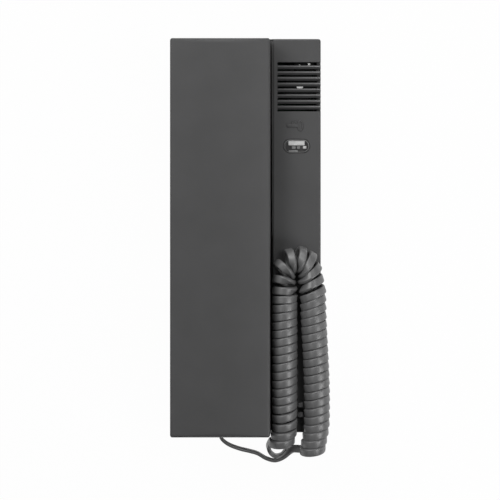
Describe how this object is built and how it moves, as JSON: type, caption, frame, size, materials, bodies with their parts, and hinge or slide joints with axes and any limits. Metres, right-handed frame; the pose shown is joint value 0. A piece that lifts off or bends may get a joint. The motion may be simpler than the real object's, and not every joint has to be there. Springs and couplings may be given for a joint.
{
  "type": "audio intercom handset",
  "caption": "Wall door-entry phone: plain slab handset lifting off a cradle base with louvred call sounder, clear door-release button and curly cord.",
  "frame": {"origin": "centre of the wall face of the phone's outline, measured without the cord", "axes": "+Z out of the wall through the handset's front, +Y towards the top end with the ear piece, +X to the right seen from the front"},
  "size_m": [0.0871, 0.2325, 0.046],
  "materials": {
    "base_plastic": "fine satin texture",
    "handset_plastic": "fine satin texture",
    "cord_grey": "soft satin",
    "clear_lens": "clear polished",
    "pale_plastic": "gloss",
    "black_plastic": "matte",
    "black_rubber": "matte",
    "board": "lacquered",
    "terminal_plastic": "semi gloss",
    "plated_metal": "bright plated",
    "steel": "zinc plated",
    "cast_weight": "rough cast"
  },
  "bodies": {
    "base": {"back_plate": "base_plastic", "front_cover": "base_plastic", "cover_screw": "steel", "circuit_board": "board", "terminal_block": "terminal_plastic", "terminal_screws": "plated_metal", "sounder_holder": "black_plastic", "call_sounder": "black_plastic", "sounder_disc": "plated_metal", "hook_switch": "black_plastic", "hook_spring": "steel", "door_switch": "black_plastic", "door_led": "pale_plastic", "base_grommet": "cord_grey", "cord_tail_base": "cord_grey", "cord_coil": "cord_grey", "cord_tail_handset": "cord_grey"},
    "handset": {"handset_shell": "handset_plastic", "handset_back": "handset_plastic", "handset_screws": "steel", "handset_weight": "cast_weight", "ear_cap": "handset_plastic", "earpiece_gasket": "black_rubber", "earpiece": "black_plastic", "mouth_cap": "handset_plastic", "microphone_boot": "black_rubber", "microphone": "plated_metal", "handset_grommet": "black_rubber"},
    "hook": {"hook_plunger": "handset_plastic"},
    "button": {"button_carrier": "black_plastic", "button_insert": "pale_plastic", "door_button": "clear_lens"}
  },
  "joints": [
    {"name": "handset_lift", "type": "slide", "parent": "base", "child": "handset", "axis": [0, 0, 1], "range_m": [0, 0.05]},
    {"name": "hook_travel", "type": "slide", "parent": "base", "child": "hook", "axis": [0, 0, 1], "range_m": [0, 0.002], "deforming": ["hook_spring"]},
    {"name": "door_button_press", "type": "slide", "parent": "base", "child": "button", "axis": [0, 0, -1], "range_m": [0, 0.0015], "stiffness_N_per_m": 400}
  ],
  "couplings": [
    {"joint": "hook_travel", "follows": "handset_lift", "ratio": 0.04}
  ]
}
